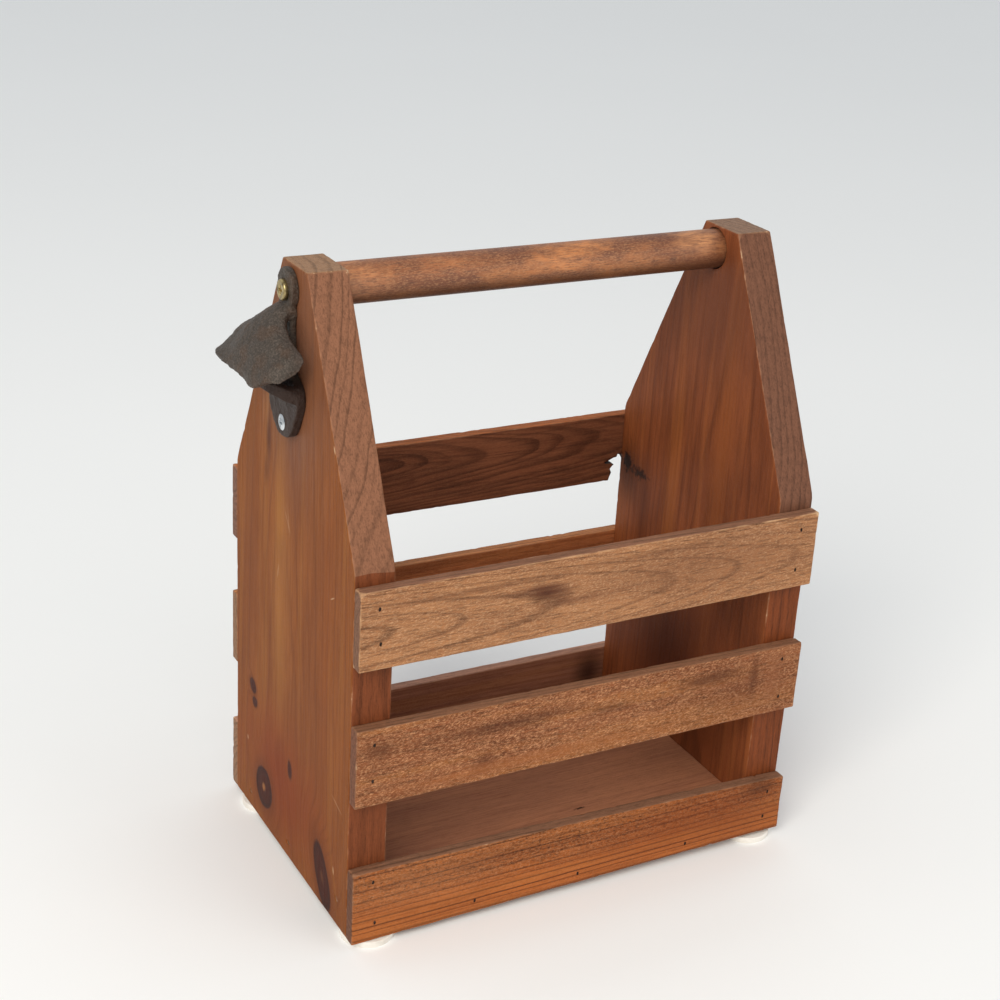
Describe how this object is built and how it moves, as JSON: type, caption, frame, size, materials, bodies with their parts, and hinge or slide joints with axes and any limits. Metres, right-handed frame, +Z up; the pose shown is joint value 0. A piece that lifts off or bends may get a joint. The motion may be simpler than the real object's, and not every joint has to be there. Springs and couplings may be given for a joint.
{
  "type": "bottle caddy",
  "caption": "Slatted wooden bottle caddy with tall gabled end panels, a round carrying handle, felt feet and a cast-iron bottle opener screwed to one end.",
  "frame": {"origin": "middle of the footprint, on the surface that the felt pads stand on", "axes": "+X along the handle, away from the opener; +Y from front to back; +Z up"},
  "size_m": [0.264, 0.1546, 0.302],
  "materials": {
    "stained_pine": "stained red-brown, worn and dry, with open grain",
    "stained_dowel": "stained orange-brown, lightly rubbed",
    "cast_iron": "dull dark brown, rough as cast, rusty inside",
    "brass": "brass-plated, slightly tarnished",
    "zinc_plated_steel": "bright zinc",
    "nail_steel": "dark, dull",
    "felt": "white pressed felt"
  },
  "bodies": {
    "root": {"end_panel_left": "stained_pine", "end_panel_right": "stained_pine", "base_board": "stained_pine", "front_slat_bottom": "stained_pine", "front_slat_middle": "stained_pine", "front_slat_top": "stained_pine", "back_slat_bottom": "stained_pine", "back_slat_middle": "stained_pine", "back_slat_top": "stained_pine", "handle": "stained_dowel", "bottle_opener": "cast_iron", "opener_screw_upper": "brass", "opener_screw_lower": "zinc_plated_steel", "front_brads_bottom": "nail_steel", "front_brads_middle": "nail_steel", "front_brads_top": "nail_steel", "back_brads_bottom": "nail_steel", "back_brads_middle": "nail_steel", "back_brads_top": "nail_steel", "panel_nails_left": "nail_steel", "panel_nails_right": "nail_steel", "felt_pad_front_left": "felt", "felt_pad_front_right": "felt", "felt_pad_back_left": "felt", "felt_pad_back_right": "felt"}
  },
  "joints": []
}
